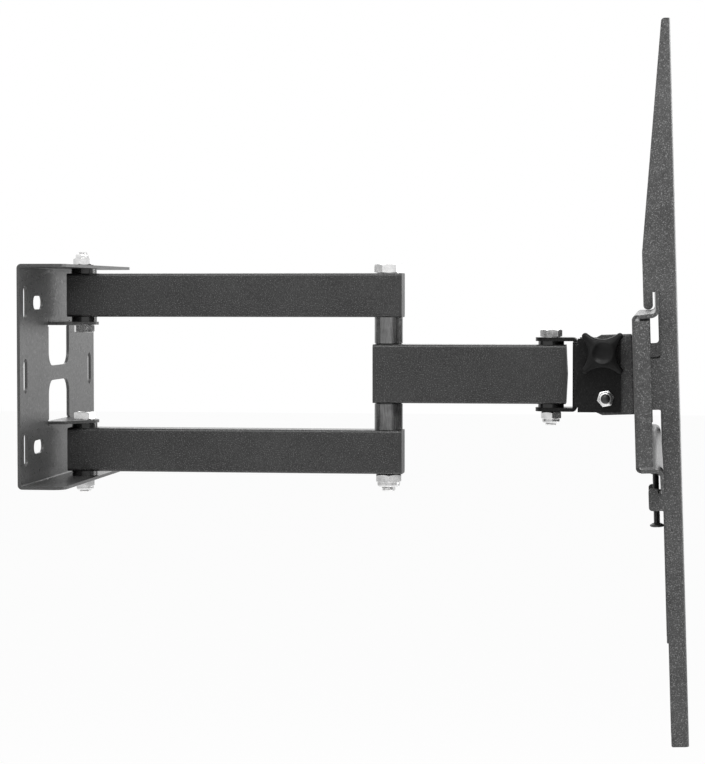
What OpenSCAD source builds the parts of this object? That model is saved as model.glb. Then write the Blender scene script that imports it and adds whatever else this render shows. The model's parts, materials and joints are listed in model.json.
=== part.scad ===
// Full motion television wall mount: a wall plate, two parallel rear arms, a
// forearm, a swivel and tilt head, and a carrier with two hook-on screen arms.
//
// Origin: centre of the wall plate's back face. +X points out from the wall,
// +Y runs along the wall and +Z is up. The arms are drawn straight out.

/* [Wall plate] */
// Width of the plate along the wall
plate_w = 200; // [170:5:260]
// Depth of the top and bottom flanges
plate_d = 31; // [30:1:38]
// Sheet thickness
plate_t = 2; // [1.5:0.1:3]
// Distance of the arm pivots from the wall
pivot_x = 20.2; // [20:0.2:26]
// Width of each window and of the tab bent out of it
window_w = 55; // [45:1:66]
// Height of the bridge left between the two windows
bridge_h = 10; // [6:1:14]
// Length of the screw slots
slot_l = 25; // [22:1:30]
// Width of the screw slots
slot_w = 9; // [7:0.5:10]
// Spacing of the long slots along the wall
cross_slot_gap = 108; // [90:1:112]
// Spacing of the screw slots up the plate
slot_rise = 97; // [80:1:98]
// Distance of the upright slots from the plate's ends
edge_slot_in = 13.5; // [12:0.5:15]

/* [Arms] */
// Height of the rear arm tubes
arm_h = 30; // [26:1:34]
// Width of the arm tubes
arm_w = 20; // [18:1:24]
// Wall of the arm tubes
tube_t = 2; // [1.5:0.1:3]
// Clear height between the two rear arms
arm_gap = 77; // [70:1:88]
// Rear arm length from pivot to pivot
rear_len = 213.2; // [180:0.2:260]
// Height of the forearm tube
fore_h = 40; // [34:1:44]
// Forearm length from pivot to pivot
fore_len = 110.9; // [100:1:140]
// Length of the tubes past their pivots
arm_over = 10; // [9:0.5:12]

/* [Pivots] */
// Wall and head bolt diameter
bolt_d = 8; // [6:1:8]
// Elbow bolt diameter
elbow_d = 10; // [8:1:10]
// Diameter of the bush flanges
bush_d = 17.5; // [16:0.5:19]
// Thickness of the bush flanges at the wall
bush_t = 3.5; // [2:0.5:5]
// Thickness of the bush flanges at the head
head_bush_t = 2.5; // [2:0.5:4]
// Diameter of the elbow spacers
spacer_d = 19.3; // [17:0.1:19.8]

/* [Head] */
// Sheet thickness of the swivel and tilt brackets
head_t = 2.5; // [2:0.1:3]
// Width of the swivel bracket
swivel_w = 49; // [46:1:56]
// From the head pivot to the swivel bracket's cross web
swivel_web_x = 15.2; // [14:0.2:18]
// From the head pivot to the front edge of the swivel bracket
swivel_d = 47.2; // [45:0.2:52]
// Height of the tilt bracket
tilt_h = 53; // [50:1:60]
// Thickness of the friction washers between the brackets
tilt_washer_t = 1; // [0.5:0.1:1.5]
// From the head pivot to the tilt pivot
tilt_x = 37.3; // [36:0.1:39]
// Drop of the tilt pivot below the arm's centre line
tilt_drop = 15.3; // [14:0.1:17]
// Rise of the knob above the arm's centre line
knob_rise = 15; // [14:0.1:17]
// How far back the screen leans as drawn
rest_tilt = 1.8; // [0:0.1:3]
// Most that the head tilts back
tilt_back = 5; // [4:0.5:6]
// Most that the head tilts forward
tilt_fwd = 12; // [8:0.5:14]

/* [Carrier] */
// Width of the carrier
carrier_w = 470; // [440:5:520]
// Height of the carrier between its flanges
carrier_h = 91; // [85:1:98]
// Depth of the carrier
carrier_d = 15.9; // [15:0.1:18]
// Sheet thickness of the carrier and the screen arms
carrier_t = 2; // [1.6:0.1:2.4]
// Height of the carrier's lips
lip_h = 13; // [12:0.5:15]

/* [Screen arms] */
// Hole spacing of the screen, both ways
screen_gap = 400; // [350:5:410]
// Length of the screen arms
screen_arm_l = 423.4; // [420:0.2:460]
// Width of the screen arms
screen_arm_w = 35; // [30:1:40]
// Depth of the screen arms at the carrier
screen_arm_d = 19.6; // [19:0.1:22]
// Diameter of the screen screw holes
screen_hole_d = 7; // [5:0.5:8]
// Diameter of the lock screws
lock_d = 4; // [3:0.5:4]

/* [Hidden] */
$fn = 64;

eps = 0.01;
run_fit = 0.05;     // radial clearance of a shaft that turns in its hole
bolt_fit = 0.2;     // radial clearance of a bolt in a drilled hole
plug_fit = 0.1;     // gap round an end cap's tongues
hang_gap = 0.3;     // gap between the hooks and the carrier's lips
bend_r = 3;         // outer radius of the sheet bends
lip_bend_r = 5;     // outer radius of the bends into the lips

// hex sizes across the flats, and heights
bolt_af = 13;
bolt_head_h = 5.3;
elbow_af = 17;
elbow_head_h = 6.4;
small_af = 10;
small_d = 6;
small_head_h = 4;
nut_h = 8;
elbow_nut_h = 9;
small_nut_h = 6;
thread_end = 1.5;

// heights along the wall pivot, upwards from the arms' centre line
arm_z0 = arm_gap / 2;
arm_z1 = arm_z0 + arm_h;
tab_z1 = arm_z0 - bush_t;
tab_z0 = tab_z1 - plate_t;
flange_z0 = arm_z1 + bush_t;
flange_z1 = flange_z0 + plate_t;
plate_h = 2 * flange_z1;
tab_r = 10;
tab_root = 13;
flange_corner_r = 8;
window_r = 10;
relief = 2;

elbow_x = pivot_x + rear_len;
head_x = elbow_x + fore_len;
cap_t = 2;
tongue_l = 6;
tongue_t = 1.3;
tube_r = 2;
fore_head_over = 8.7;   // forearm tube past the head pivot
dome_t = 2.4;
dome_r = 240;
elbow_bush_t = 0.8;
spacer_l = arm_z0 - fore_h / 2 - elbow_bush_t;
spigot_t = 1.2;         // wall of a bush's spigot
spigot_over = 1.5;      // how far a spigot reaches past the tube wall

// swivel bracket
tab_top = fore_h / 2 + head_bush_t;
swivel_h = 2 * (tab_top + head_t);
swivel_tab_w = 21;
notch_w = 2;
notch_h = 4;
ear_step = 0.4;         // the ears stand in from the tabs by this
ear_h = swivel_h - 2 * ear_step;
tilt_px = head_x + tilt_x;
tilt_pz = -tilt_drop;
knob_back = 2.1;        // the knob's bolt stands this far behind the tilt pivot
knob_x = tilt_px - knob_back;
knob_z = knob_rise;
tilt_w = swivel_w - 2 * (head_t + tilt_washer_t);
tilt_ear_l = 14.6;      // tilt bracket's ears behind the tilt pivot
tilt_ear_back = tilt_px - tilt_ear_l;
tilt_ear_cut = [12, 5.8];
slot_radius = norm([knob_x - tilt_px, knob_z - tilt_pz]);
// the knob bolt's place in the tilt frame, and the arc that it needs
knob_angle = atan2(knob_z - tilt_pz, knob_x - tilt_px) - rest_tilt;
slot_spare = 1;         // spare turn at each end of the arc
slot_a0 = knob_angle - (tilt_back - rest_tilt) - slot_spare;
slot_a1 = knob_angle + tilt_fwd + rest_tilt + slot_spare;

// knob
knob_gap = 0.3;
knob_t = 12;
star_t = 8;             // thickness of the knob's star
boss_r = 8;
dish_r0 = 4.8;          // dish in the knob's face, bottom and top radius
dish_r1 = 7;
dish_d = 1.2;
insert_l = 9;
insert_r = 5;
tip_reach = 16.1;
tip_r = 2.2;
hollow_at = 25;

// carrier and screen arms, in the tilt frame
carrier_out = 20.5;     // from the tilt pivot to the carrier's back
carrier_x = tilt_px + carrier_out;
carrier_z = -4.1;
carrier_top = carrier_z + carrier_h / 2;
carrier_bottom = carrier_z - carrier_h / 2;
lip_x1 = carrier_x + carrier_d;
lip_x0 = lip_x1 - carrier_t;
seat_x = lip_x1 + hang_gap;
notch_back = 1.6;       // room behind a lip in a screen arm's notch
notch_x = lip_x0 - notch_back;
seat_d = 10.2;          // depth of a screen arm in front of the lips
arm_front = seat_x + seat_d;
arm_back = arm_front - screen_arm_d;
arm_mid_z = 0.5;
arm_top = arm_mid_z + screen_arm_l / 2;
arm_bottom = arm_mid_z - screen_arm_l / 2;
notch_top = carrier_top + lip_h + hang_gap;
hook_rise = 2.9;        // the hooks' tips stand this far above the carrier
hook_tip = carrier_top + hook_rise;
lip_bottom = carrier_bottom - lip_h + 1;
lug_drop = 10.3;        // from the carrier down to the top of a lug
lug_h = 13;
lug_top = carrier_bottom - lug_drop;
lug_bottom = lug_top - lug_h;
lip_room = 1.5;         // room under the lower lip
lip_clear = lip_bottom - lip_room;
ledge_z = lug_top - 4;  // top of the ledge that a lock screw runs through
lock_in = 11.3;         // from the carrier's back to a lock screw
lock_x = carrier_x + lock_in;
lock_out = 8.4;         // the heads stand this far below the lugs
lock_gap = 0.9;         // between a lock screw's tip and the carrier
lock_head_z = lug_bottom - lock_out;
lock_head_d = 8.3;
lock_head_t = 2.6;
lock_rim_t = 1.4;       // thickness of a lock screw's head at its rim
lock_neck = 0.6;        // how much wider than the shaft the head's cone ends
lock_cone_h = 1.2;
lock_tip = 1.2;         // length of the narrower tip of a lock screw
arm_y = screen_gap / 2;
arm_top_d = 5;          // depth of a screen arm at its top end
taper_l = 134.7;        // length over which it deepens
pad_z0 = -14;           // stretch that stands inside the carrier
pad_z1 = 15.7;
screen_slots = [60, 110, 160];  // middles of the slots for smaller screens
screen_slot_l = 32;
end_flange_d = 10;      // depth of the carrier's turned-in ends
carrier_bolt_y = 11;
carrier_bolt_z = 15;
dome_head_r = 6.5;      // low domed bolt heads in the tray
dome_head_h = 3.3;
dome_head_curve = 9;

steel = "silver";
coat = [0.16, 0.16, 0.17];
plastic = [0.05, 0.05, 0.05];
zinc = [0.80, 0.81, 0.82];

// ---------------------------------------------------------------- shapes

function unit(v) = v / norm(v);

// a strip of sheet t thick along a path with square corners, bent to mid radius r[i]
module sheet(path, t, r) {
    n = len(path);
    for (i = [0 : n - 2]) {
        a = path[i];
        b = path[i + 1];
        d = unit(b - a);
        side = [-d[1], d[0]] * t / 2;
        p = a + (i > 0 ? d * r[i - 1] : [0, 0]);
        q = b - (i < n - 2 ? d * r[i] : [0, 0]);
        polygon([p + side, q + side, q - side, p - side]);
    }
    for (i = [1 : n - 2]) {
        d1 = unit(path[i] - path[i - 1]);
        d2 = unit(path[i + 1] - path[i]);
        rr = r[i - 1];
        c = path[i] - d1 * rr + d2 * rr;
        s = rr + t;
        intersection() {
            translate(c) difference() {
                circle(rr + t / 2);
                circle(rr - t / 2);
            }
            polygon([c, c + d1 * s, c + d1 * s - d2 * s, c - d2 * s]);
        }
    }
}

// rectangle w by h about the origin with corners of radius r
module round_rect(w, h, r) {
    square([w - 2 * r, h], center = true);
    square([w, h - 2 * r], center = true);
    for (x = [-1, 1], y = [-1, 1])
        translate([x * (w / 2 - r), y * (h / 2 - r)]) circle(r);
}

// slot of overall length l and width w along x
module slot(l, w) {
    square([l - w, w], center = true);
    for (x = [-1, 1]) translate([x * (l - w) / 2, 0]) circle(w / 2);
}

// a closed outline whose corners are rounded, each to its own radius
function arc_points(a, p, b, r, steps = 6) =
    let (u = unit(a - p), v = unit(b - p),
         half = acos(u * v) / 2, reach = r / tan(half),
         c = p + unit(u + v) * r / sin(half),
         s = p + u * reach - c, e = p + v * reach - c,
         a0 = atan2(s[1], s[0]), turn = atan2(s[0] * e[1] - s[1] * e[0], s * e))
    r == 0 ? [p] : [for (i = [0 : steps]) c + r * [cos(a0 + turn * i / steps), sin(a0 + turn * i / steps)]];

function rounded(pts, r) = let (n = len(pts)) [
    for (i = [0 : n - 1]) each arc_points(pts[(i + n - 1) % n], pts[i], pts[(i + 1) % n], r[i])
];

// stands a shape drawn as (x, z) up, w wide about the plane y = 0
module along_y(w) {
    rotate([90, 0, 0]) linear_extrude(w, center = true) children();
}

// stands a shape drawn as (y, z) up, from x = 0 to x = l
module along_x(l) {
    rotate([90, 0, 90]) linear_extrude(l) children();
}

// runs a shape drawn along z about the origin along y instead, pointing to -y
module to_near() {
    rotate([90, 0, 0]) children();
}

module both_sides() {
    children();
    mirror([0, 0, 1]) children();
}

// the tilt frame leans back about the tilt pivot
module leaned() {
    translate([tilt_px, 0, tilt_pz]) rotate([0, -rest_tilt, 0])
        translate([-tilt_px, 0, -tilt_pz]) children();
}

// ---------------------------------------------------------------- hardware

// hexagon with its corners chamfered at the top, standing on z = 0
module hex_body(af, h) {
    chamfer = af * 0.06;
    corners = af * 1.2;
    intersection() {
        cylinder(h, d = af / cos(30), $fn = 6);
        union() {
            cylinder(h - chamfer, d = corners);
            translate([0, 0, h - chamfer - eps]) cylinder(chamfer + eps, d1 = corners, d2 = af);
        }
    }
}

// bolt whose head stands on z = 0 and whose shaft runs down for l
module hex_bolt(d, af, head_h, l) {
    hex_body(af, head_h);
    translate([0, 0, -l]) cylinder(l + 1, d = d);
}

// lock nut with a domed collar, standing on z = 0
module lock_nut(d, af, h) {
    hex_h = h * 0.7;
    collar = af * 0.9;
    collar_end = af * 0.72;
    difference() {
        union() {
            hex_body(af, hex_h);
            translate([0, 0, hex_h - 1]) cylinder(h - hex_h, d = collar);
            translate([0, 0, h - 1 - eps]) cylinder(1, d1 = collar, d2 = collar_end);
        }
        translate([0, 0, -1]) cylinder(h + 2, r = d / 2 + run_fit);
    }
}

// flanged bush: the flange from z = 0 up to t, and the spigot down through a wall
module bush(t, d, shaft_d, wall) {
    spigot_r = shaft_d / 2 + run_fit + spigot_t;
    difference() {
        union() {
            cylinder(t, d = d);
            translate([0, 0, -wall - spigot_over]) cylinder(wall + spigot_over + t / 2, r = spigot_r);
        }
        translate([0, 0, -wall - spigot_over - 1])
            cylinder(wall + spigot_over + t + 2, r = shaft_d / 2 + run_fit);
    }
}

module ring(h, outer_r, inner_r) {
    difference() {
        cylinder(h, r = outer_r);
        translate([0, 0, -1]) cylinder(h + 2, r = inner_r);
    }
}

function spigot_hole_r(shaft_d) = shaft_d / 2 + run_fit + spigot_t + run_fit;

// ---------------------------------------------------------------- wall plate

// a tab as wide as its window, narrowing in tangents to a round end
module tab_outline() {
    w = window_w / 2;
    reach = norm([tab_root - pivot_x, w]);
    a = atan2(w, tab_root - pivot_x) - acos(tab_r / reach);
    touch = pivot_x + tab_r * cos(a);
    difference() {
        union() {
            translate([0, -w]) square([tab_root, 2 * w]);
            polygon([[tab_root, -w], [tab_root, w], [touch, tab_r * sin(a)], [touch, -tab_r * sin(a)]]);
            translate([pivot_x, 0]) circle(tab_r);
        }
        translate([pivot_x, 0]) circle(bolt_d / 2 + bolt_fit);
    }
}

module window() {
    // drawn as (y, z) between the bridge and the tab
    h = tab_z0 - bridge_h / 2;
    translate([0, bridge_h / 2 + h / 2]) {
        round_rect(window_w, h, window_r);
        translate([0, h / 4]) square([window_w, h / 2], center = true);
    }
    for (y = [-1, 1]) translate([y * (window_w / 2 + relief / 2), tab_z0 + plate_t / 2])
        square([relief, 2 * plate_t], center = true);
}

module wall_plate() {
    mid = plate_t / 2;
    color(coat) {
        difference() {
            intersection() {
                along_y(plate_w) sheet(
                    [[plate_d, plate_h / 2 - mid], [mid, plate_h / 2 - mid],
                     [mid, mid - plate_h / 2], [plate_d, mid - plate_h / 2]],
                    plate_t, [bend_r - mid, bend_r - mid]);
                translate([0, 0, -plate_h]) linear_extrude(2 * plate_h)
                    round_rect(2 * plate_d, plate_w, flange_corner_r);
            }
            translate([-1, 0, 0]) along_x(plate_t + 2) {
                window();
                mirror([0, 1]) window();
                for (z = [-1, 1] * slot_rise / 2, y = [-1, 1] * cross_slot_gap / 2)
                    translate([y, z]) slot(slot_l, slot_w);
                for (z = [-1, 0, 1] * slot_rise / 2, y = [-1, 1] * (plate_w / 2 - edge_slot_in))
                    translate([y, z]) rotate(90) slot(slot_l - 2, slot_w);
            }
            translate([pivot_x, 0, -plate_h]) cylinder(2 * plate_h, r = bolt_d / 2 + bolt_fit);
        }
        both_sides() translate([0, 0, tab_z0]) linear_extrude(plate_t) tab_outline();
    }
}

module wall_pivot_bolts() {
    l = flange_z1 - tab_z0 + nut_h + thread_end;
    color(zinc) both_sides() translate([pivot_x, 0, tab_z0]) mirror([0, 0, 1])
        hex_bolt(bolt_d, bolt_af, bolt_head_h, l);
}

module wall_pivot_nuts() {
    color(zinc) both_sides() translate([pivot_x, 0, flange_z1]) lock_nut(bolt_d, bolt_af, nut_h);
}

// ---------------------------------------------------------------- rear arms

module tube_outline(w, h) {
    difference() {
        round_rect(w, h, tube_r);
        square([w - 2 * tube_t, h - 2 * tube_t], center = true);
    }
}

// tube along x with its pivots drilled: p is [[x, hole radius], ...]
module arm_tube(x0, x1, w, h, pivots) {
    difference() {
        translate([x0, 0, 0]) along_x(x1 - x0) tube_outline(w, h);
        for (p = pivots) translate([p[0], 0, -h]) cylinder(2 * h, r = p[1]);
    }
}

// two tongues that hold an end cap inside a tube's side walls, pointing to -x from x = 0
module cap_tongues(w, h) {
    side = w / 2 - tube_t - plug_fit - tongue_t;
    for (y = [side, -side - tongue_t])
        translate([-tongue_l, y, -h / 2 + tube_t + plug_fit])
            cube([tongue_l + eps, tongue_t, h - 2 * (tube_t + plug_fit)]);
}

// flat cap on the end of a tube at x = 0
module end_cap(w, h) {
    along_x(cap_t) round_rect(w, h, tube_r);
    cap_tongues(w, h);
}

module rear_arm() {
    translate([0, 0, arm_z0 + arm_h / 2])
        arm_tube(pivot_x - arm_over + cap_t, elbow_x + arm_over - cap_t, arm_w, arm_h,
                 [[pivot_x, spigot_hole_r(bolt_d)], [elbow_x, elbow_d / 2 + bolt_fit]]);
}

module upper_rear_arm() {
    color(coat) rear_arm();
}

module lower_rear_arm() {
    color(coat) mirror([0, 0, 1]) rear_arm();
}

module rear_arm_end_caps() {
    color(plastic) both_sides() translate([0, 0, arm_z0 + arm_h / 2]) {
        translate([elbow_x + arm_over - cap_t, 0, 0]) end_cap(arm_w, arm_h);
        translate([pivot_x - arm_over + cap_t, 0, 0]) mirror([1, 0, 0]) end_cap(arm_w, arm_h);
    }
}

module wall_pivot_bushes() {
    color(plastic) both_sides() {
        translate([pivot_x, 0, arm_z1]) bush(bush_t, bush_d, bolt_d, tube_t);
        translate([pivot_x, 0, arm_z0]) mirror([0, 0, 1]) bush(bush_t, bush_d, bolt_d, tube_t);
    }
}

module wall_pivot_sleeves() {
    inset = tube_t + spigot_over;
    color(steel) both_sides() translate([pivot_x, 0, arm_z0 + inset])
        ring(arm_h - 2 * inset, bolt_d / 2 + run_fit + spigot_t, bolt_d / 2 + bolt_fit);
}

module elbow_spacers() {
    color(steel) both_sides() translate([elbow_x, 0, arm_z0 - spacer_l])
        ring(spacer_l, spacer_d / 2, elbow_d / 2 + bolt_fit);
}

module elbow_bolt() {
    color(zinc) translate([elbow_x, 0, arm_z1])
        hex_bolt(elbow_d, elbow_af, elbow_head_h, 2 * arm_z1 + elbow_nut_h + 2 * thread_end);
}

module elbow_nut() {
    color(zinc) translate([elbow_x, 0, -arm_z1]) mirror([0, 0, 1]) lock_nut(elbow_d, elbow_af, elbow_nut_h);
}

// ---------------------------------------------------------------- forearm

module forearm() {
    color(coat) arm_tube(elbow_x - arm_over + cap_t, head_x + fore_head_over, arm_w, fore_h,
        [[elbow_x, spigot_hole_r(elbow_d)], [head_x, spigot_hole_r(bolt_d)]]);
}

module forearm_elbow_cap() {
    color(plastic) translate([elbow_x - arm_over + cap_t, 0, 0]) mirror([1, 0, 0]) end_cap(arm_w, fore_h);
}

// the cap at the head end has a slightly domed face
module forearm_head_cap() {
    color(plastic) translate([head_x + fore_head_over, 0, 0]) {
        intersection() {
            along_x(dome_t) round_rect(arm_w, fore_h, tube_r);
            translate([dome_t - dome_r, 0, 0]) along_y(2 * arm_w) circle(dome_r);
        }
        cap_tongues(arm_w, fore_h);
    }
}

module elbow_bushes() {
    color(plastic) both_sides() translate([elbow_x, 0, fore_h / 2])
        bush(elbow_bush_t, spacer_d - 1, elbow_d, tube_t);
}

module elbow_sleeve() {
    l = fore_h - 2 * (tube_t + spigot_over);
    color(steel) translate([elbow_x, 0, -l / 2])
        ring(l, elbow_d / 2 + run_fit + spigot_t, elbow_d / 2 + bolt_fit);
}

module head_bushes() {
    color(plastic) both_sides() translate([head_x, 0, fore_h / 2])
        bush(head_bush_t, bush_d, bolt_d, tube_t);
}

module head_sleeve() {
    l = fore_h - 2 * (tube_t + spigot_over);
    color(steel) translate([head_x, 0, -l / 2])
        ring(l, bolt_d / 2 + run_fit + spigot_t, bolt_d / 2 + bolt_fit);
}

// ---------------------------------------------------------------- swivel head

// tabs above and below the forearm, a cross web, and two ears out to the tilt pivot
module swivel_bracket() {
    mid = head_t / 2;
    web = head_x + swivel_web_x + mid;
    ear = swivel_w / 2 - mid;
    tab = tab_top + mid;
    color(coat) difference() {
        union() {
            along_y(swivel_tab_w) sheet(
                [[head_x, tab], [web, tab], [web, -tab], [head_x, -tab]], head_t,
                [bend_r - mid, bend_r - mid]);
            both_sides() translate([head_x, 0, tab_top]) cylinder(head_t, d = swivel_tab_w);
            difference() {
                translate([0, 0, -ear_h / 2]) linear_extrude(ear_h) sheet(
                    [[head_x + swivel_d, ear], [web, ear], [web, -ear], [head_x + swivel_d, -ear]],
                    head_t, [bend_r - mid, bend_r - mid]);
                // the web's top and bottom edges lie inside the tabs' bends
                both_sides() translate([web, 0, tab_top + head_t])
                    cube([2 * head_t, swivel_w - 2 * head_t, 2 * bend_r], center = true);
            }
        }
        translate([head_x, 0, -swivel_h]) cylinder(2 * swivel_h, r = bolt_d / 2 + bolt_fit);
        for (p = [[tilt_px, tilt_pz], [knob_x, knob_z]])
            translate([p[0], swivel_w, p[1]]) to_near()
                cylinder(2 * swivel_w, r = small_d / 2 + bolt_fit);
        // open notches where the ears, the web and the tabs would meet
        for (y = [-1, 1], z = [-1, 1])
            translate([web, y * swivel_w / 2, z * ear_h / 2])
                cube([head_t + notch_w, 2 * (head_t + 1), 2 * notch_h], center = true);
    }
}

module head_bolt() {
    color(zinc) translate([head_x, 0, swivel_h / 2])
        hex_bolt(bolt_d, bolt_af, bolt_head_h, swivel_h + nut_h + thread_end);
}

module head_nut() {
    color(zinc) translate([head_x, 0, -swivel_h / 2]) mirror([0, 0, 1]) lock_nut(bolt_d, bolt_af, nut_h);
}

// the tilt bolts run across the bracket from the far side
module tilt_pivot_bolt() {
    color(zinc) translate([tilt_px, swivel_w / 2, tilt_pz]) rotate([-90, 0, 0])
        hex_bolt(small_d, small_af, small_head_h, swivel_w + small_nut_h + 1);
}

module tilt_pivot_nut() {
    color(zinc) translate([tilt_px, -swivel_w / 2, tilt_pz]) to_near()
        lock_nut(small_d, small_af, small_nut_h);
}

module knob_bolt() {
    color(zinc) translate([knob_x, swivel_w / 2, knob_z]) rotate([-90, 0, 0])
        hex_bolt(small_d, small_af, small_head_h, swivel_w + knob_gap + insert_l - 1);
}

module tilt_washers() {
    at = [[tilt_px, tilt_pz], [knob_x, knob_z]];
    color(plastic) for (y = [tilt_w / 2, -tilt_w / 2 - tilt_washer_t], p = at) translate([p[0], y, p[1]]) rotate([-90, 0, 0])
            ring(tilt_washer_t, small_d, small_d / 2 + bolt_fit);
}

// ---------------------------------------------------------------- knob

// four tips joined by hollow arcs, drawn about the origin
module knob_outline() {
    tips = [for (a = [45 : 90 : 315]) tip_reach * [cos(a), sin(a)]];
    hollows = [for (a = [0 : 90 : 270]) hollow_at * [cos(a), sin(a)]];
    hollow_r = norm(tips[0] - hollows[0]) - tip_r;
    touch = [for (i = [0 : 3]) each [
        tips[i] + tip_r * unit(hollows[i] - tips[i]),
        tips[i] + tip_r * unit(hollows[(i + 1) % 4] - tips[i])]];
    difference() {
        polygon(touch);
        for (h = hollows) translate(h) circle(hollow_r);
    }
    for (t = tips) translate(t) circle(tip_r);
}

module tilt_knob() {
    color(plastic) translate([knob_x, -swivel_w / 2 - knob_gap, knob_z]) to_near() difference() {
        union() {
            translate([0, 0, knob_t - star_t]) linear_extrude(star_t) knob_outline();
            cylinder(knob_t - star_t + 1, r = boss_r);
        }
        translate([0, 0, -1]) cylinder(insert_l + 1, r = insert_r);
        translate([0, 0, knob_t - dish_d]) cylinder(dish_d + eps, r1 = dish_r0, r2 = dish_r1);
    }
}

module knob_insert() {
    color(zinc) translate([knob_x, -swivel_w / 2 - knob_gap, knob_z]) to_near()
        ring(insert_l, insert_r, small_d / 2 + run_fit);
}

// ---------------------------------------------------------------- tilt frame

// slot along an arc about the origin, from a0 to a1, w wide
module arc_slot(r, a0, a1, w) {
    far = 2 * r;
    intersection() {
        difference() {
            circle(r + w / 2, $fn = 128);
            circle(r - w / 2, $fn = 128);
        }
        polygon([[0, 0], far * [cos(a0), sin(a0)], far * [cos(a1), sin(a1)]]);
    }
    for (a = [a0, a1]) translate(r * [cos(a), sin(a)]) circle(w / 2);
}

// side outline of the tilt bracket, drawn as (x, z)
module tilt_outline() {
    back = tilt_ear_back;
    z = tilt_h / 2;
    cut = tilt_ear_cut;
    polygon([[back, cut[1] - z], [back + cut[0], -z], [carrier_x + 1, -z],
             [carrier_x + 1, z], [back + cut[0], z], [back, z - cut[1]]]);
}

module tilt_bracket() {
    mid = head_t / 2;
    ear = tilt_w / 2 - mid;
    color(coat) leaned() difference() {
        intersection() {
            // two angles that overlap at the middle make one channel
            for (m = [0, 1]) mirror([0, m, 0]) translate([0, 0, -tilt_h]) linear_extrude(2 * tilt_h)
                sheet([[tilt_ear_back, ear], [carrier_x - mid, ear], [carrier_x - mid, -1]],
                      head_t, [bend_r - mid]);
            along_y(2 * tilt_w) tilt_outline();
        }
        translate([tilt_px, tilt_w, tilt_pz]) to_near() {
            cylinder(2 * tilt_w, r = small_d / 2 + run_fit);
            linear_extrude(2 * tilt_w) arc_slot(slot_radius, slot_a0, slot_a1, small_d + 2 * bolt_fit);
        }
        for (y = [-1, 1] * carrier_bolt_y, z = [-1, 1] * carrier_bolt_z)
            translate([carrier_x - 2 * head_t, y, carrier_z + z]) rotate([0, 90, 0])
                cylinder(3 * head_t, r = small_d / 2 + bolt_fit);
    }
}

module carrier() {
    mid = carrier_t / 2;
    x0 = carrier_x + mid;
    x1 = lip_x1 - mid;
    z0 = carrier_bottom + mid;
    z1 = carrier_top - mid;
    half = carrier_w / 2;
    color(coat) leaned() difference() {
        union() {
            difference() {
                along_y(carrier_w) sheet(
                    [[x1, carrier_top + lip_h], [x1, z1], [x0, z1], [x0, z0], [x1, z0], [x1, lip_bottom]],
                    carrier_t, [lip_bend_r - mid, bend_r - mid, bend_r - mid, lip_bend_r - mid]);
                for (y = [-1, 1]) translate([carrier_x, y * half, carrier_z])
                    cube([2 * bend_r, 2 * bend_r, carrier_h + 2], center = true);
            }
            translate([0, 0, carrier_bottom + bend_r + 0.5]) linear_extrude(carrier_h - 2 * bend_r - 1)
                for (y = [-1, 1]) sheet(
                    [[carrier_x + end_flange_d, y * (half - mid)], [x0, y * (half - mid)],
                     [x0, y * (half - 2 * bend_r)]],
                    carrier_t, [bend_r - mid]);
        }
        for (y = [-1, 1] * carrier_bolt_y, z = [-1, 1] * carrier_bolt_z)
            translate([carrier_x - 1, y, carrier_z + z]) rotate([0, 90, 0])
                cylinder(carrier_t + 2, r = small_d / 2 + bolt_fit);
    }
}

module at_carrier_bolts() {
    leaned() for (y = [-1, 1] * carrier_bolt_y, z = [-1, 1] * carrier_bolt_z)
        translate([carrier_x, y, carrier_z + z]) children();
}

// low domed heads in the tray, nuts inside the tilt bracket
module carrier_bolts() {
    l = head_t + small_nut_h + 1;
    color(zinc) at_carrier_bolts() rotate([0, 90, 0]) {
        translate([0, 0, carrier_t]) intersection() {
            cylinder(dome_head_h + 1, r = dome_head_r);
            translate([0, 0, dome_head_h - dome_head_curve]) sphere(dome_head_curve);
        }
        translate([0, 0, -l]) cylinder(l + carrier_t + 1, d = small_d);
    }
}

module carrier_nuts() {
    color(zinc) at_carrier_bolts() translate([-head_t, 0, 0]) rotate([0, -90, 0])
        lock_nut(small_d, small_af, small_nut_h);
}

// ---------------------------------------------------------------- screen arms

// side outline of a screen arm's webs, drawn as (x, z)
module web_outline() {
    x0 = arm_back;
    pts = [
        [arm_front + 1, arm_top], [arm_front - arm_top_d, arm_top], [x0, arm_top - taper_l],
        [x0, hook_tip], [notch_x, hook_tip], [notch_x, notch_top], [seat_x, notch_top],
        [seat_x, pad_z1], [x0, pad_z1], [x0, pad_z0], [seat_x, pad_z0], [seat_x, lip_clear],
        [notch_x, lip_clear], [notch_x, lug_top], [x0, lug_top], [x0, lug_bottom],
        [seat_x, lug_bottom], [seat_x, arm_bottom], [arm_front + 1, arm_bottom]];
    polygon(rounded(pts,
        [0, 2, 8, 2.5, 2.5, 0.5, 0.5, 2.5, 2.5, 2.5, 2.5, 1, 1, 1, 2, 2, 2, 1, 0]));
}

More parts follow.
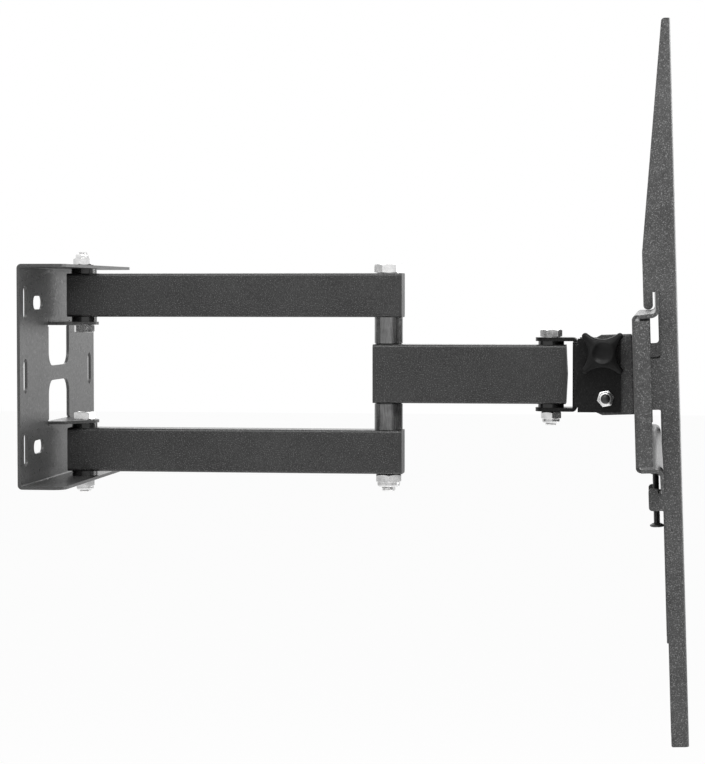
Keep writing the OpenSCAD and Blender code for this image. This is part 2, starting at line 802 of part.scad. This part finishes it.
module screen_arm() {
    mid = carrier_t / 2;
    w = screen_arm_w / 2 - mid;
    difference() {
        union() {
            intersection() {
                translate([0, 0, arm_bottom - 1]) linear_extrude(screen_arm_l + 2) sheet(
                    [[arm_back, w], [arm_front - mid, w], [arm_front - mid, -w], [arm_back, -w]],
                    carrier_t, [bend_r - mid, bend_r - mid]);
                along_y(2 * screen_arm_w) web_outline();
            }
            // ledge that carries the lock screw, bent across between the webs
            translate([arm_back, -w, ledge_z - carrier_t])
                cube([arm_front - mid - arm_back, 2 * w, carrier_t]);
        }
        translate([lock_x, 0, ledge_z - 2 * carrier_t]) cylinder(3 * carrier_t, r = lock_d / 2 + run_fit);
        translate([arm_front - 3 * carrier_t, 0, arm_mid_z]) along_x(4 * carrier_t) {
            for (s = [-1, 1]) {
                translate([0, s * screen_gap / 2]) circle(d = screen_hole_d);
                for (z = screen_slots) translate([0, s * z]) rotate(90) slot(screen_slot_l, screen_hole_d);
            }
        }
    }
}

module lock_screw() {
    z0 = lock_head_z - lock_head_t;
    l = carrier_bottom - lock_gap - z0;
    translate([lock_x, 0, z0]) {
        cylinder(lock_rim_t, d = lock_head_d);
        translate([0, 0, lock_rim_t - eps])
            cylinder(lock_cone_h, d1 = lock_head_d, d2 = lock_d + 2 * lock_neck);
        cylinder(l - lock_tip, d = lock_d);
        cylinder(l, d = lock_d - lock_tip);
    }
}

module near_screen_arm() {
    color(coat) leaned() translate([0, -arm_y, 0]) screen_arm();
}

module far_screen_arm() {
    color(coat) leaned() translate([0, arm_y, 0]) screen_arm();
}

module near_lock_screw() {
    color(plastic) leaned() translate([0, -arm_y, 0]) lock_screw();
}

module far_lock_screw() {
    color(plastic) leaned() translate([0, arm_y, 0]) lock_screw();
}

wall_plate();
wall_pivot_bolts();
wall_pivot_nuts();
upper_rear_arm();
lower_rear_arm();
rear_arm_end_caps();
wall_pivot_bushes();
wall_pivot_sleeves();
elbow_spacers();
elbow_bolt();
elbow_nut();
forearm();
forearm_elbow_cap();
forearm_head_cap();
elbow_bushes();
elbow_sleeve();
head_bushes();
head_sleeve();
swivel_bracket();
head_bolt();
head_nut();
tilt_pivot_bolt();
tilt_pivot_nut();
knob_bolt();
tilt_washers();
tilt_bracket();
carrier();
carrier_bolts();
carrier_nuts();
tilt_knob();
knob_insert();
near_screen_arm();
far_screen_arm();
near_lock_screw();
far_lock_screw();
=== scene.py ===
"""Looks of a full motion television wall mount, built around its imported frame.

Everything is in metres in the part's own frame: +X out from the wall, +Z up.
"""

import json
import math
from collections import namedtuple

import bmesh
import bpy
from mathutils import Matrix, Vector


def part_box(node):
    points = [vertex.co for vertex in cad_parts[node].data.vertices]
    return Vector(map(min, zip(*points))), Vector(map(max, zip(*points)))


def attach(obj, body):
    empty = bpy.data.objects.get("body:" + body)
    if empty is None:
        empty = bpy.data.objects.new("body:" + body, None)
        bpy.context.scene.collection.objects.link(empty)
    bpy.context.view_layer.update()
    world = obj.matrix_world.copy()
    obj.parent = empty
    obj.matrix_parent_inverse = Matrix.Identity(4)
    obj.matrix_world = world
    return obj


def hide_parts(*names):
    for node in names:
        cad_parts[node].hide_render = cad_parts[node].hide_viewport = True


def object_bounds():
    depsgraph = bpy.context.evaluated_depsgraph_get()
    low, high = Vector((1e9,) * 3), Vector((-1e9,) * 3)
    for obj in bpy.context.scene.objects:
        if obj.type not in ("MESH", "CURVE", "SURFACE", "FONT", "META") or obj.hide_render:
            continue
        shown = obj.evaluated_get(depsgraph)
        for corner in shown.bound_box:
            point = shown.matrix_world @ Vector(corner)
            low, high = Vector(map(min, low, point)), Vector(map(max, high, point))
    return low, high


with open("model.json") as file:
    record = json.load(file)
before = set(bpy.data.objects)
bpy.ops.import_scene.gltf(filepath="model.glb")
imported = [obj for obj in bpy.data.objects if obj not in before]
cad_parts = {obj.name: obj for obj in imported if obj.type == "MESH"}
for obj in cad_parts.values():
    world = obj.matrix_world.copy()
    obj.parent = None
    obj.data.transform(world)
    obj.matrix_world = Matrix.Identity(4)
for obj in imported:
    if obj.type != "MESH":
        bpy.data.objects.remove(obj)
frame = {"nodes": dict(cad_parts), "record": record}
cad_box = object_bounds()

MM = 0.001
FULL_TURN = 2 * math.pi


# ---------------------------------------------------------------- finishes


class Wire:
    """One socket of a finish, for use in sums."""

    def __init__(self, finish, socket):
        self.finish = finish
        self.socket = socket

    def math(self, operation, a, b):
        return self.finish.add("Math", {"operation": operation}, {0: a, 1: b})

    def __add__(self, other):
        return self.math("ADD", self, other)

    def __sub__(self, other):
        return self.math("SUBTRACT", self, other)

    def __mul__(self, other):
        return self.math("MULTIPLY", self, other)

    def __rsub__(self, other):
        return self.math("SUBTRACT", other, self)

    __radd__ = __add__
    __rmul__ = __mul__


class Finish:
    """A material made of nodes."""

    def __init__(self, name, roughness, metallic=0.0, specular=0.5):
        self.material = bpy.data.materials.new(name)
        self.material.use_nodes = True
        self.tree = self.material.node_tree
        self.shader = self.tree.nodes["Principled BSDF"]
        self.shader.inputs["Roughness"].default_value = roughness
        self.shader.inputs["Metallic"].default_value = metallic
        self.shader.inputs["Specular IOR Level"].default_value = specular

    def add(self, kind, settings=None, inputs=None, output=0):
        """Adds a node: its settings first, then the values or wires of its sockets."""
        node = self.tree.nodes.new("ShaderNode" + kind)
        for key, value in (settings or {}).items():
            setattr(node, key, value)
        for key, value in (inputs or {}).items():
            self.put(node.inputs[key], value)
        return Wire(self, node.outputs[output])

    def put(self, socket, value):
        if isinstance(value, Wire):
            self.tree.links.new(value.socket, socket)
        else:
            socket.default_value = value

    def set(self, **values):
        for key, value in values.items():
            self.put(self.shader.inputs[key.replace("_", " ")], value)

    def place(self):
        """Where a point is on the piece, in metres."""
        return self.add("TexCoord", output="Object")

    def stretched(self, x, y, z):
        """That place multiplied along each axis, which draws a pattern out along the smaller."""
        return self.add("VectorMath", {"operation": "MULTIPLY"}, {0: self.place(), 1: (x, y, z)})

    def noise(self, scale, detail=2.0, rough=0.5, at=None):
        return self.add("TexNoise", {}, {
            "Vector": at or self.place(), "Scale": scale, "Detail": detail, "Roughness": rough})

    def band(self, wire, low, high, to_low=0.0, to_high=1.0):
        """A wire's values from low to high spread over to_low to to_high, and held there beyond."""
        return self.add("MapRange", {"clamp": True}, {
            "Value": wire, "From Min": low, "From Max": high, "To Min": to_low, "To Max": to_high})

    def shade(self, factor, dark, light):
        """A colour between two, by a wire from 0 to 1."""
        return self.add("Mix", {"data_type": "RGBA"}, {
            0: factor, 6: (*dark, 1.0), 7: (*light, 1.0)}, output=2)

    def bump(self, height, distance, strength=1.0):
        self.set(Normal=self.add("Bump", {}, {
            "Height": height, "Distance": distance, "Strength": strength}))


def grey(level, warm=0.0):
    """A grey of one level, leaning to red by a small share."""
    return (level * (1 + warm), level, level * (1 - warm))


def powder_coat(name, dark, light, fleck, specular=0.5):
    """Textured powder coat: fine bumps with pale flecks of shine on them."""
    f = Finish(name, 0.34, specular=specular)
    grains = f.noise(1500, 2.0, 0.6)
    lumps = f.noise(420, 2.0, 0.5)
    cloud = f.noise(26, 3.0, 0.6)
    flecks = f.band(grains, 0.54, 0.72)
    base = f.shade(f.band(cloud + lumps * 0.5, 0.55, 0.95), dark, light)
    f.set(Base_Color=f.add("Mix", {"data_type": "RGBA"}, {
        0: flecks, 6: base, 7: (*fleck, 1.0)}, output=2))
    f.set(Roughness=f.band(lumps, 0.3, 0.7, 0.26, 0.40))
    f.bump(grains * 0.6 + lumps * 0.7, 0.00010, 0.5)
    return f.material


def bright_zinc():
    """Bright zinc plate with faint clouds and fine scratches."""
    f = Finish("bright_zinc", 0.22, metallic=1.0)
    cloud = f.noise(160, 4.0, 0.6)
    scratches = f.noise(1.0, 2.0, 0.6, at=f.stretched(900, 5200, 900))
    f.set(Base_Color=f.shade(f.band(cloud, 0.35, 0.68), grey(0.62), grey(0.90, 0.004)))
    f.set(Roughness=f.band(cloud + scratches * 0.5, 0.5, 1.0, 0.16, 0.36))
    f.bump(scratches, 0.00002, 0.5)
    return f.material


def drawn_steel(name, low, high, rough):
    """Steel tube with a fine grain up its length."""
    f = Finish(name, rough, metallic=1.0)
    grain = f.noise(1.0, 3.0, 0.6, at=f.stretched(2600, 2600, 90))
    cloud = f.noise(90, 3.0, 0.5)
    tone = f.band(grain * 0.6 + cloud * 0.5, 0.40, 0.70)
    f.set(Base_Color=f.shade(tone, grey(low), grey(high)))
    f.set(Roughness=f.band(grain, 0.3, 0.7, rough - 0.05, rough + 0.10))
    f.bump(grain, 0.00002, 0.4)
    return f.material


def moulded(name, dark, light, rough_low, rough_high, specular, grain_depth):
    """Moulded plastic with a fine skin."""
    f = Finish(name, rough_low, specular=specular)
    skin = f.noise(2400, 2.0, 0.5)
    cloud = f.noise(70, 3.0, 0.5)
    f.set(Base_Color=f.shade(f.band(cloud, 0.35, 0.65), grey(dark), grey(light)))
    f.set(Roughness=f.band(skin * 0.5 + cloud * 0.5, 0.35, 0.65, rough_low, rough_high))
    f.bump(skin, grain_depth, 0.6)
    return f.material


COAT = powder_coat("powder_coat", grey(0.010), grey(0.020), grey(0.15))
# painted shade: a darker copy of the one powder coat, for the swivel bracket
PAINTED_SHADE_COAT = powder_coat("painted_shade_coat", grey(0.005), grey(0.009), grey(0.03), 0.15)
# painted light: a lighter copy of the one powder coat, for the brighter-lit tilt bracket, carrier
# and screen arms
PAINTED_LIGHT_COAT = powder_coat("painted_light_coat", grey(0.028), grey(0.050), grey(0.22))
# painted light: a lighter copy of the one powder coat, for the wall plate
PLATE_PAINTED_LIGHT_COAT = powder_coat("plate_painted_light_coat", grey(0.034), grey(0.048), grey(0.10), 0.56)
ZINC = bright_zinc()
KNOB_BLACK = moulded("knob_black", 0.006, 0.012, 0.34, 0.46, 0.16, 0.00004)
CAP_BLACK = moulded("cap_black", 0.016, 0.026, 0.34, 0.46, 0.5, 0.00004)
BUSH_BLACK = moulded("bush_black", 0.006, 0.010, 0.12, 0.22, 0.6, 0.00001)
SATIN_STEEL = drawn_steel("satin_steel", 0.10, 0.26, 0.26)
PLAIN_STEEL = drawn_steel("plain_steel", 0.42, 0.60, 0.32)
BLACK_SCREW = moulded("black_screw", 0.010, 0.020, 0.24, 0.36, 0.6, 0.00002)

finish_of = {
    "powder_coat": COAT, "zinc": ZINC, "black_plastic": CAP_BLACK, "bush_plastic": BUSH_BLACK,
    "plain_steel": PLAIN_STEEL, "dark_steel": SATIN_STEEL, "black_screw": BLACK_SCREW,
}
slot_of = {s["node"]: s["material_slot"] for s in frame["record"]["subparts"]}
body_of_node = {
    node: body for body, nodes in frame["record"]["behaviour"]["bodies"].items() for node in nodes}


def finish_node(node, material):
    """Gives a CAD node its material."""
    mesh = frame["nodes"][node].data
    mesh.materials.clear()
    mesh.materials.append(material)


for node_name, slot_name in slot_of.items():
    finish_node(node_name, finish_of[slot_name])
# the wall plate gets the copy of the coat with painted light
finish_node("wall_plate", PLATE_PAINTED_LIGHT_COAT)
# the swivel bracket gets the copy of the coat with painted shade
finish_node("swivel_bracket", PAINTED_SHADE_COAT)
# the tilt bracket, carrier and screen arms get the copy of the coat with painted light
for node_name in ("tilt_bracket", "carrier", "near_screen_arm", "far_screen_arm"):
    finish_node(node_name, PAINTED_LIGHT_COAT)


# ---------------------------------------------------------------- meshes


def grid_mesh(name, rows, capped=True, smooth_deg=30):
    """A skin over closed rows of points, all of one length, with its ends capped or open."""
    mesh = bpy.data.meshes.new(name)
    bm = bmesh.new()
    lines = [[bm.verts.new(point) for point in row] for row in rows]
    n = len(lines[0])
    for a, b in zip(lines, lines[1:]):
        for i in range(n):
            j = (i + 1) % n
            bm.faces.new((a[i], a[j], b[j], b[i]))
    if capped:
        bm.faces.new(list(reversed(lines[0])))
        bm.faces.new(lines[-1])
    bmesh.ops.recalc_face_normals(bm, faces=bm.faces)
    for face in bm.faces:
        face.smooth = True
    for edge in bm.edges:
        if len(edge.link_faces) == 2 and edge.calc_face_angle(0) > math.radians(smooth_deg):
            edge.smooth = False
    bm.to_mesh(mesh)
    bm.free()
    return mesh


def piece(name, mesh, node, material, matrix=None, replaces=()):
    """Puts a mesh in place as a piece that rides with a CAD node's body."""
    if matrix is not None:
        mesh.transform(matrix)
    made = bpy.data.objects.new(name, mesh)
    bpy.context.scene.collection.objects.link(made)
    mesh.materials.append(material)
    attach(made, body_of_node[node])
    if replaces:
        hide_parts(*replaces)
    return made


# points round a bolt head or nut, a rod or thread, and a screw's small tip
HEAD_POINTS = 72
ROD_POINTS = 48
TIP_POINTS = 32


def ring_of(radius, z, n=HEAD_POINTS):
    """A closed round row at height z."""
    angles = [FULL_TURN * i / n for i in range(n)]
    return [(radius * math.cos(a), radius * math.sin(a), z) for a in angles]


def hex_radius(af, angle):
    """Reach of a hexagon with a flat at angle 0, from its size across the flats."""
    part = (angle + math.pi / 6) % (math.pi / 3) - math.pi / 6
    return af / 2 / math.cos(part)


def hex_row(af, z, crown, fall):
    """A row round a hexagon whose corners drop below z by fall times their reach past the crown."""
    row = []
    for i in range(HEAD_POINTS):
        # corners lie at 0, 60, ... degrees
        a = FULL_TURN * i / HEAD_POINTS
        r = hex_radius(af, a + math.pi / 6)
        row.append((r * math.cos(a), r * math.sin(a), z - max(0.0, r - crown) * fall))
    return row


# radius of a hexagon's round chamfer, as a share of its size across the flats
CROWN_SHARE = 0.475


def hex_head(name, af, height):
    """Bolt head standing on z = 0, crowned on top, with a round washer face under it."""
    crown = af * CROWN_SHARE
    washer_r = af * 0.46
    return grid_mesh(name, [
        ring_of(washer_r, 0.0),
        ring_of(washer_r, 0.3 * MM),
        hex_row(af, 0.35 * MM, crown, -0.25),
        hex_row(af, height, crown, 0.5),
        ring_of(crown, height),
        ring_of(crown * 0.80, height),
        ring_of(crown * 0.74, height - 0.25 * MM),
    ])


def thread_end(name, d, pitch, z0, z1):
    """A threaded rod from z0 up to z1, chamfered at z1."""
    depth = pitch * 0.55
    rows_per_pitch = 8
    steps = max(6, int((z1 - z0) / pitch * rows_per_pitch))
    rows = []
    for k in range(steps + 1):
        z = z0 + (z1 - z0) * k / steps
        row = []
        for i in range(ROD_POINTS):
            a = FULL_TURN * i / ROD_POINTS
            turn = (z / pitch - i / ROD_POINTS) % 1.0
            r = d / 2 - depth * abs(2 * turn - 1)
            r = min(r, d / 2 - depth * 1.1 + (z1 - z) * 0.9)
            row.append((r * math.cos(a), r * math.sin(a), z))
        rows.append(row)
    return grid_mesh(name, rows, smooth_deg=50)


def domed_nut(name, d, af, height):
    """Lock nut standing on z = 0: hexagon, rounded collar and a plastic ring's seat."""
    crown = af * CROWN_SHARE
    bore_r = d / 2
    collar_r = af * 0.45
    hexagon_h = height * 0.66
    round_r = 1.3 * MM
    round_steps = 6
    rows = [
        ring_of(bore_r, 0.1 * MM),
        ring_of(crown * 0.93, 0.0),
        hex_row(af, 0.5 * MM, crown, -0.5),
        hex_row(af, hexagon_h, crown, 0.55),
        ring_of(af * 0.452, hexagon_h + 0.15 * MM),
        ring_of(collar_r, height - round_r),
    ]
    for k in range(1, round_steps + 1):
        t = math.pi / 2 * k / round_steps
        rows.append(ring_of(
            collar_r - round_r * (1 - math.cos(t)), height - round_r * (1 - math.sin(t))))
    rows += [
        ring_of(bore_r + 0.45 * MM, height - 0.1 * MM),
        ring_of(bore_r + 0.3 * MM, height - 0.7 * MM),
        ring_of(bore_r + 0.05 * MM, height - 0.8 * MM),
        ring_of(bore_r, height - 1.4 * MM),
    ]
    mesh = grid_mesh(name, rows, capped=False)
    bm = bmesh.new()
    bm.from_mesh(mesh)
    # the bore joins the last row to the first
    bm.verts.ensure_lookup_table()
    last = len(bm.verts) - HEAD_POINTS
    for i in range(HEAD_POINTS):
        j = (i + 1) % HEAD_POINTS
        bm.faces.new((bm.verts[i], bm.verts[j], bm.verts[last + j], bm.verts[last + i]))
    bmesh.ops.recalc_face_normals(bm, faces=bm.faces)
    for face in bm.faces:
        face.smooth = True
    bm.to_mesh(mesh)
    bm.free()
    return mesh


def joined(name, meshes):
    """One mesh out of several."""
    bm = bmesh.new()
    for part in meshes:
        bm.from_mesh(part)
    mesh = bpy.data.meshes.new(name)
    bm.to_mesh(mesh)
    bm.free()
    return mesh


def shifted(mesh, matrix):
    """The same mesh, moved."""
    mesh.transform(matrix)
    return mesh


def middle(node):
    """Middle of a CAD node's box."""
    low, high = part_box(node)
    return (low + high) / 2


def leaning(point, angle, spin=0.0):
    """Stands a mesh drawn up z at a point, turned about X, after a spin about its own axis."""
    lean = Matrix.Rotation(math.radians(angle), 4, "X")
    return Matrix.Translation(point) @ lean @ Matrix.Rotation(math.radians(spin), 4, "Z")


# ---------------------------------------------------------------- bolts and nuts


# across threads, across the hexagon's flats, head height, nut height and pitch
Fastener = namedtuple("Fastener", "d af head_h nut_h pitch")
M10 = Fastener(10 * MM, 17 * MM, 6.4 * MM, 9 * MM, 1.5 * MM)
M8 = Fastener(8 * MM, 13 * MM, 5.3 * MM, 8 * MM, 1.25 * MM)
M6 = Fastener(6 * MM, 10 * MM, 4 * MM, 6 * MM, 1.0 * MM)

# turns about X that point a mesh drawn up z
UP, DOWN, NEARWARD = 0, 180, 90
# how far a bolt's rod runs into its head, which leaves no seam between them
ROOTED = 0.5 * MM


def bolt_meshes(size, seat, pointing, length, thread_l, spin):
    """Head, plain rod and thread of a bolt whose head seats at a point."""
    along = leaning(seat, pointing)
    head = shifted(hex_head("head", size.af, size.head_h), leaning(seat, pointing + 180, spin))
    rod = grid_mesh("rod", [ring_of(size.d / 2, -ROOTED, ROD_POINTS),
                            ring_of(size.d / 2, length - thread_l, ROD_POINTS)])
    cut = thread_end("cut", size.d, size.pitch, length - thread_l, length)
    return [head, shifted(rod, along), shifted(cut, along)]


def nut_at(node, size, seat_z, pointing, spin):
    """A lock nut over or under a node's middle, with its seat at seat_z."""
    centre = middle(node)
    return shifted(domed_nut("nut", size.d, size.af, size.nut_h),
                   leaning((centre.x, centre.y, seat_z), pointing, spin))


def wall_pivot_fasteners():
    """The upper and lower wall pivots: heads on the inner tabs, nuts on the outer flanges."""
    # from the inner tab's face under the head to the outer flange under the nut
    clamped = 41 * MM
    bolt_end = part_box("wall_pivot_bolts")[1].z
    nut_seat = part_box("wall_pivot_nuts")[1].z - M8.nut_h
    head_seat = nut_seat - clamped
    x = middle("wall_pivot_bolts").x
    bolts, nuts = [], []
    for sign, pointing in ((1, UP), (-1, DOWN)):
        bolts += bolt_meshes(M8, (x, 0, sign * head_seat), pointing, bolt_end - abs(head_seat),
                             thread_l=12 * MM, spin=8)
        nuts.append(nut_at("wall_pivot_nuts", M8, sign * nut_seat, pointing, 17))
    piece("wall_pivot_bolt_set", joined("wall_pivot_bolt_set", bolts),
          "wall_pivot_bolts", ZINC, replaces=("wall_pivot_bolts",))
    piece("wall_pivot_nut_set", joined("wall_pivot_nut_set", nuts),
          "wall_pivot_nuts", ZINC, replaces=("wall_pivot_nuts",))


def hanging_bolt(bolt_node, nut_node, size):
    """A bolt whose head is on top, and the lock nut under it."""
    low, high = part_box(bolt_node)
    centre = middle(bolt_node)
    head_seat = high.z - size.head_h
    bolt = bolt_meshes(size, (centre.x, centre.y, head_seat), DOWN, head_seat - low.z,
                       thread_l=size.nut_h * 1.6, spin=10)
    piece(bolt_node + "_cut", joined(bolt_node, bolt), bolt_node, ZINC, replaces=(bolt_node,))
    piece(nut_node + "_cut", nut_at(nut_node, size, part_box(nut_node)[1].z, DOWN, 22),
          nut_node, ZINC, replaces=(nut_node,))


def tilt_pivot_fasteners():
    """The tilt bolt, whose dark cut end shows in its nut on the near side."""
    far_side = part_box("tilt_pivot_nut")[1].y
    centre = middle("tilt_pivot_nut")
    piece("tilt_nut_cut", shifted(domed_nut("tilt_nut_cut", M6.d, M6.af, M6.nut_h),
                                  leaning((centre.x, far_side, centre.z), NEARWARD, 12)),
          "tilt_pivot_nut", ZINC, replaces=("tilt_pivot_nut",))
    low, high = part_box("tilt_pivot_bolt")
    head_seat = high.y - M6.head_h
    head, rod, cut = bolt_meshes(M6, (centre.x, head_seat, centre.z), NEARWARD,
                                 head_seat - low.y, thread_l=9 * MM, spin=5)
    piece("tilt_bolt_rod", joined("tilt_bolt_rod", [head, rod]),
          "tilt_pivot_bolt", ZINC, replaces=("tilt_pivot_bolt",))
    piece("tilt_bolt_end", cut, "tilt_pivot_bolt", BLACK_SCREW)


wall_pivot_fasteners()
hanging_bolt("elbow_bolt", "elbow_nut", M10)
hanging_bolt("head_bolt", "head_nut", M8)
tilt_pivot_fasteners()


# ---------------------------------------------------------------- knob


def spoke(angle, reach):
    """The point at a distance from the knob's axis."""
    return Vector((math.cos(angle), math.sin(angle))) * reach


def knob_rim(inset):
    """The knob's star outline, drawn in by inset: four tips joined by hollow arcs."""
    tip_at, tip_r, hollow_at = 16.1 * MM, 2.2 * MM, 25 * MM
    tip_steps, hollow_steps = 10, 16
    eighth, quarter = math.pi / 4, math.pi / 2
    points = []
    for number in range(4):
        tip_a = eighth + quarter * number
        tip = spoke(tip_a, tip_at)
        before = spoke(tip_a - eighth, hollow_at)
        after = spoke(tip_a + eighth, hollow_at)
        hollow_r = (tip - after).length - tip_r
        a0 = math.atan2(*(before - tip).yx)
        a1 = math.atan2(*(after - tip).yx)
        span = (a1 - a0) % FULL_TURN
        for k in range(tip_steps + 1):
            points.append(tip + spoke(a0 + span * k / tip_steps, tip_r - inset))
        ahead = spoke(tip_a + quarter, tip_at)
        b0 = math.atan2(*(tip - after).yx)
        b1 = math.atan2(*(ahead - after).yx)
        sweep = (b1 - b0 + math.pi) % FULL_TURN - math.pi
        for k in range(1, hollow_steps):
            points.append(after + spoke(b0 + sweep * k / hollow_steps, hollow_r + inset))
    return points


def star_knob():
    """Star with rounded tips and a dished face, on a round boss at its back."""
    low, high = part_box("tilt_knob")
    depth = high.y - low.y
    star_h = 8 * MM
    star_z = depth - star_h
    round_r, round_z = 1.9 * MM, depth - 2.6 * MM
    round_steps = 6
    rows = []

    def star_row(inset, z, share=1.0):
        rows.append([(p.x * share, p.y * share, z) for p in knob_rim(inset)])

    star_row(1.6 * MM, star_z, 0.45)
    star_row(1.6 * MM, star_z)
    star_row(0.5 * MM, star_z + 0.3 * MM)
    star_row(0.0, star_z + 1.2 * MM)
    for k in range(round_steps + 1):
        t = math.pi / 2 * k / round_steps
        star_row(round_r * (1 - math.cos(t)), round_z + round_r * math.sin(t))
    face = rows[-1]

    def face_row(radius, below, star_share=0.0):
        """A row of the face at a depth below its top, between the star and a circle."""
        round_share = 1 - star_share
        made = []
        for x, y, _ in face:
            a = math.atan2(y, x)
            made.append((x * star_share + radius * math.cos(a) * round_share,
                         y * star_share + radius * math.sin(a) * round_share, depth - below))
        rows.append(made)

    face_row(9.0 * MM, 0.45 * MM, 0.45)
    face_row(7.6 * MM, 0.15 * MM)
    face_row(7.0 * MM, 0.05 * MM)
    face_row(6.5 * MM, 0.2 * MM)
    face_row(5.4 * MM, 1.0 * MM)
    face_row(4.0 * MM, 1.5 * MM)
    face_row(1.5 * MM, 1.75 * MM)
    star = grid_mesh("knob_star", rows, smooth_deg=46)

    insert_r, boss_r = 5.1 * MM, 8 * MM
    boss = grid_mesh("knob_boss", [
        ring_of(insert_r, 0.0), ring_of(boss_r - 0.4 * MM, 0.0), ring_of(boss_r, 0.4 * MM),
        ring_of(boss_r, star_z + 1 * MM)], capped=False)
    centre = middle("tilt_knob")
    piece("knob_body", joined("knob_body", [star, boss]), "tilt_knob", KNOB_BLACK,
          leaning((centre.x, high.y, centre.z), NEARWARD), replaces=("tilt_knob",))


star_knob()


# ---------------------------------------------------------------- lock screws


def lock_screw(node):
    """A black screw with a flat round head and a threaded shaft, along the node's own lean."""
    low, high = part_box(node)
    lean = math.radians(1.8)
    head_r, tip_r = 4.15 * MM, 1.35 * MM
    thread_d, pitch = 4 * MM, 0.7 * MM
    length = (high.z - low.z - 2 * head_r * math.sin(lean) * 0.6) / math.cos(lean)
    foot = Vector((low.x + head_r * math.cos(lean), middle(node).y,
                   low.z + head_r * math.sin(lean)))
    head = grid_mesh("lock_head", [ring_of(radius, z, ROD_POINTS) for radius, z in (
        (head_r * 0.70, 0.0), (head_r * 0.92, 0.25 * MM), (head_r, 0.7 * MM),
        (head_r, 1.3 * MM), (head_r * 0.9, 1.6 * MM), (2.5 * MM, 2.3 * MM))])
    shaft = thread_end("lock_shaft", thread_d, pitch, 2.2 * MM, length - 1.3 * MM)
    tip = grid_mesh("lock_tip", [ring_of(radius, length - below, TIP_POINTS) for radius, below in (
        (tip_r, 2.5 * MM), (tip_r, 0.5 * MM), (1.0 * MM, 0.2 * MM))])
    piece(node + "_cut", joined(node + "_cut", [head, shaft, tip]), node, BLACK_SCREW,
          Matrix.Translation(foot) @ Matrix.Rotation(-lean, 4, "Y"), replaces=(node,))


lock_screw("near_lock_screw")
lock_screw("far_lock_screw")


# ---------------------------------------------------------------- camera and light


def look(position, yaw_deg, pitch_deg, lens):
    """Sets the camera: yaw from +Y towards +X, pitch up from level."""
    yaw, pitch = math.radians(yaw_deg), math.radians(pitch_deg)
    camera = bpy.data.cameras.new("view")
    camera.lens = lens
    camera.clip_end = 60
    holder = bpy.data.objects.new("view", camera)
    forward = Vector((
        math.sin(yaw) * math.cos(pitch), math.cos(yaw) * math.cos(pitch), math.sin(pitch)))
    turn = forward.to_track_quat("-Z", "Y").to_matrix().to_4x4()
    holder.matrix_world = Matrix.Translation(position) @ turn
    bpy.context.scene.collection.objects.link(holder)
    bpy.context.scene.camera = holder


look((0.4117, -1.5568, 0.054), yaw_deg=-7.44, pitch_deg=-2.19, lens=107.9)


def soft_light(name, position, aim, size, power):
    """A soft box that shines at a point."""
    lamp = bpy.data.lights.new(name, "AREA")
    lamp.shape = "RECTANGLE"
    lamp.size, lamp.size_y = size
    lamp.energy = power
    holder = bpy.data.objects.new(name, lamp)
    holder.location = position
    holder.rotation_euler = (Vector(aim) - Vector(position)).to_track_quat("-Z", "Y").to_euler()
    bpy.context.scene.collection.objects.link(holder)


soft_light("key", (-0.3, -1.7, 1.9), (0.2, 0.0, 0.0), (1.4, 1.4), 20)
soft_light("side", (1.9, 0.9, 0.5), (0.0, 0.0, 0.0), (1.2, 1.6), 26)
soft_light("high", (0.75, -0.85, 0.75), (0.42, -0.2, 0.16), (0.5, 0.4), 9)
soft_light("back", (0.1, 1.9, 1.2), (0.2, 0.0, 0.0), (1.8, 1.2), 14)


def light_the_world(level):
    """Even light of one level, seen and mirrored as white."""
    world = bpy.data.worlds.new("studio")
    bpy.context.scene.world = world
    world.use_nodes = True
    nodes, links = world.node_tree.nodes, world.node_tree.links
    nodes.clear()
    seen = nodes.new("ShaderNodeLightPath")
    lit = nodes.new("ShaderNodeBackground")
    lit.inputs["Strength"].default_value = level
    white = nodes.new("ShaderNodeBackground")
    white.inputs["Strength"].default_value = 1.0
    white.inputs["Color"].default_value = (1, 1, 1, 1)
    lit.inputs["Color"].default_value = (1, 1, 1, 1)
    either = nodes.new("ShaderNodeMath")
    either.operation = "MAXIMUM"
    links.new(seen.outputs["Is Camera Ray"], either.inputs[0])
    links.new(seen.outputs["Is Glossy Ray"], either.inputs[1])
    all_three = nodes.new("ShaderNodeMath")
    all_three.operation = "MAXIMUM"
    links.new(either.outputs[0], all_three.inputs[0])
    links.new(seen.outputs["Is Transmission Ray"], all_three.inputs[1])
    pick = nodes.new("ShaderNodeMixShader")
    links.new(all_three.outputs[0], pick.inputs[0])
    links.new(lit.outputs[0], pick.inputs[1])
    links.new(white.outputs[0], pick.inputs[2])
    out = nodes.new("ShaderNodeOutputWorld")
    links.new(pick.outputs[0], out.inputs["Surface"])


light_the_world(0.55)


def pale_floor(height, half, seen_white):
    """A floor that keeps shadow but looks nearly white to the camera."""
    mesh = bpy.data.meshes.new("floor")
    mesh.from_pydata(
        [(x * half, y * half, height) for x, y in ((-1, -1), (1, -1), (1, 1), (-1, 1))],
        [], [(0, 1, 2, 3)])
    floor = bpy.data.objects.new("floor", mesh)
    bpy.context.scene.collection.objects.link(floor)
    f = Finish("floor_white", 0.9, specular=0.0)
    f.set(Base_Color=(0.96, 0.96, 0.96, 1.0))
    nodes, links = f.tree.nodes, f.tree.links
    path = nodes.new("ShaderNodeLightPath")
    glow = nodes.new("ShaderNodeEmission")
    glow.inputs["Strength"].default_value = 1.0
    share = nodes.new("ShaderNodeMath")
    share.operation = "MULTIPLY"
    share.inputs[1].default_value = seen_white
    links.new(path.outputs["Is Camera Ray"], share.inputs[0])
    mix = nodes.new("ShaderNodeMixShader")
    links.new(share.outputs[0], mix.inputs[0])
    links.new(f.shader.outputs[0], mix.inputs[1])
    links.new(glow.outputs[0], mix.inputs[2])
    links.new(mix.outputs[0], nodes["Material Output"].inputs["Surface"])
    mesh.materials.append(f.material)


pale_floor(cad_box[0][2] - 0.55, 14.0, 0.94)

bpy.context.scene.view_settings.view_transform = "Standard"
